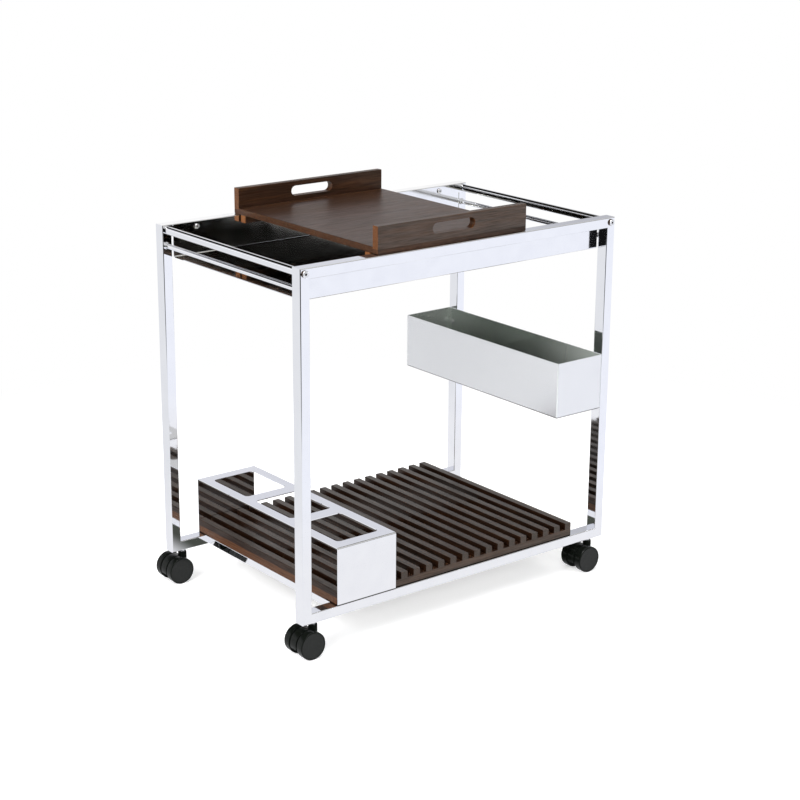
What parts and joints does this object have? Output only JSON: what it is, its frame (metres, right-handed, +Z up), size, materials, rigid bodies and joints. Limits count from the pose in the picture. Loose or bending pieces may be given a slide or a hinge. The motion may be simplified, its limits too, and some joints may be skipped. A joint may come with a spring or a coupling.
{
  "type": "service cart",
  "caption": "Chromed tube service cart with a lift-off wooden tray, a sheet pan, a side caddy, a slatted wooden deck, a sliding bottle rack and swivel casters.",
  "frame": {"origin": "on the floor, under the middle of the overall box", "axes": "+X to the caddy end along the long side, +Y to the back, +Z up"},
  "size_m": [0.765, 0.5056, 0.7792],
  "materials": {
    "polished_chrome": "mirror-polished chrome plate",
    "plain_steel": "bright zinc-plated steel",
    "deck_wood": "dark walnut stain, satin lacquer",
    "tray_wood": "dark walnut stain, satin lacquer",
    "caster_plastic": "moulded black nylon, satin"
  },
  "bodies": {
    "cart": {"back_batten": "deck_wood", "back_bottom_rail": "polished_chrome", "back_left_leg": "polished_chrome", "back_left_stem": "plain_steel", "back_right_leg": "polished_chrome", "back_right_stem": "plain_steel", "back_top_rail": "polished_chrome", "caddy": "polished_chrome", "caddy_screws": "plain_steel", "caster_sockets": "plain_steel", "corner_screws": "plain_steel", "deck_screws": "plain_steel", "deck_slats": "deck_wood", "end_rail_plugs": "plain_steel", "front_batten": "deck_wood", "front_bottom_rail": "polished_chrome", "front_left_leg": "polished_chrome", "front_left_stem": "plain_steel", "front_right_leg": "polished_chrome", "front_right_stem": "plain_steel", "front_top_rail": "polished_chrome", "left_batten": "deck_wood", "left_cross_bar": "polished_chrome", "left_end_rail": "polished_chrome", "left_guard_rod": "polished_chrome", "middle_batten": "deck_wood", "pan_screws": "plain_steel", "right_batten": "deck_wood", "right_cross_bar": "polished_chrome", "right_end_rail": "polished_chrome", "right_guard_rod": "polished_chrome", "rod_ferrules": "polished_chrome", "top_pan": "polished_chrome"},
    "tray": {"tray_base": "tray_wood", "tray_front_board": "tray_wood", "tray_front_cleat": "tray_wood", "tray_back_board": "tray_wood", "tray_back_cleat": "tray_wood", "tray_screws": "plain_steel"},
    "bottle_rack": {"bottle_rack": "polished_chrome"},
    "front_left_caster": {"front_left_hood": "caster_plastic", "front_left_axle": "plain_steel"},
    "front_left_outer_wheel": {"front_left_outer_wheel": "caster_plastic"},
    "front_left_inner_wheel": {"front_left_inner_wheel": "caster_plastic"},
    "front_right_caster": {"front_right_hood": "caster_plastic", "front_right_axle": "plain_steel"},
    "front_right_outer_wheel": {"front_right_outer_wheel": "caster_plastic"},
    "front_right_inner_wheel": {"front_right_inner_wheel": "caster_plastic"},
    "back_left_caster": {"back_left_hood": "caster_plastic", "back_left_axle": "plain_steel"},
    "back_left_outer_wheel": {"back_left_outer_wheel": "caster_plastic"},
    "back_left_inner_wheel": {"back_left_inner_wheel": "caster_plastic"},
    "back_right_caster": {"back_right_hood": "caster_plastic", "back_right_axle": "plain_steel"},
    "back_right_outer_wheel": {"back_right_outer_wheel": "caster_plastic"},
    "back_right_inner_wheel": {"back_right_inner_wheel": "caster_plastic"}
  },
  "joints": [
    {"name": "tray_slide", "type": "slide", "parent": "cart", "child": "tray", "axis": [1, 0, 0], "range_m": [-0.157, 0.209]},
    {"name": "rack_slide", "type": "slide", "parent": "cart", "child": "bottle_rack", "axis": [1, 0, 0], "range_m": [-0.057, 0.516]},
    {"name": "front_left_swivel", "type": "hinge", "parent": "cart", "child": "front_left_caster", "pos_m": [-0.3375, -0.2245, 0.064], "axis": [0, 0, 1], "continuous": true},
    {"name": "front_left_outer_roll", "type": "hinge", "parent": "front_left_caster", "child": "front_left_outer_wheel", "pos_m": [-0.3555, -0.2245, 0.027], "axis": [0, 1, 0], "continuous": true},
    {"name": "front_left_inner_roll", "type": "hinge", "parent": "front_left_caster", "child": "front_left_inner_wheel", "pos_m": [-0.3555, -0.2245, 0.027], "axis": [0, 1, 0], "continuous": true},
    {"name": "front_right_swivel", "type": "hinge", "parent": "cart", "child": "front_right_caster", "pos_m": [0.3525, -0.2245, 0.064], "axis": [0, 0, 1], "continuous": true},
    {"name": "front_right_outer_roll", "type": "hinge", "parent": "front_right_caster", "child": "front_right_outer_wheel", "pos_m": [0.3345, -0.2245, 0.027], "axis": [0, 1, 0], "continuous": true},
    {"name": "front_right_inner_roll", "type": "hinge", "parent": "front_right_caster", "child": "front_right_inner_wheel", "pos_m": [0.3345, -0.2245, 0.027], "axis": [0, 1, 0], "continuous": true},
    {"name": "back_left_swivel", "type": "hinge", "parent": "cart", "child": "back_left_caster", "pos_m": [-0.3375, 0.2245, 0.064], "axis": [0, 0, 1], "continuous": true},
    {"name": "back_left_outer_roll", "type": "hinge", "parent": "back_left_caster", "child": "back_left_outer_wheel", "pos_m": [-0.3555, 0.2245, 0.027], "axis": [0, 1, 0], "continuous": true},
    {"name": "back_left_inner_roll", "type": "hinge", "parent": "back_left_caster", "child": "back_left_inner_wheel", "pos_m": [-0.3555, 0.2245, 0.027], "axis": [0, 1, 0], "continuous": true},
    {"name": "back_right_swivel", "type": "hinge", "parent": "cart", "child": "back_right_caster", "pos_m": [0.3525, 0.2245, 0.064], "axis": [0, 0, 1], "continuous": true},
    {"name": "back_right_outer_roll", "type": "hinge", "parent": "back_right_caster", "child": "back_right_outer_wheel", "pos_m": [0.3345, 0.2245, 0.027], "axis": [0, 1, 0], "continuous": true},
    {"name": "back_right_inner_roll", "type": "hinge", "parent": "back_right_caster", "child": "back_right_inner_wheel", "pos_m": [0.3345, 0.2245, 0.027], "axis": [0, 1, 0], "continuous": true}
  ]
}
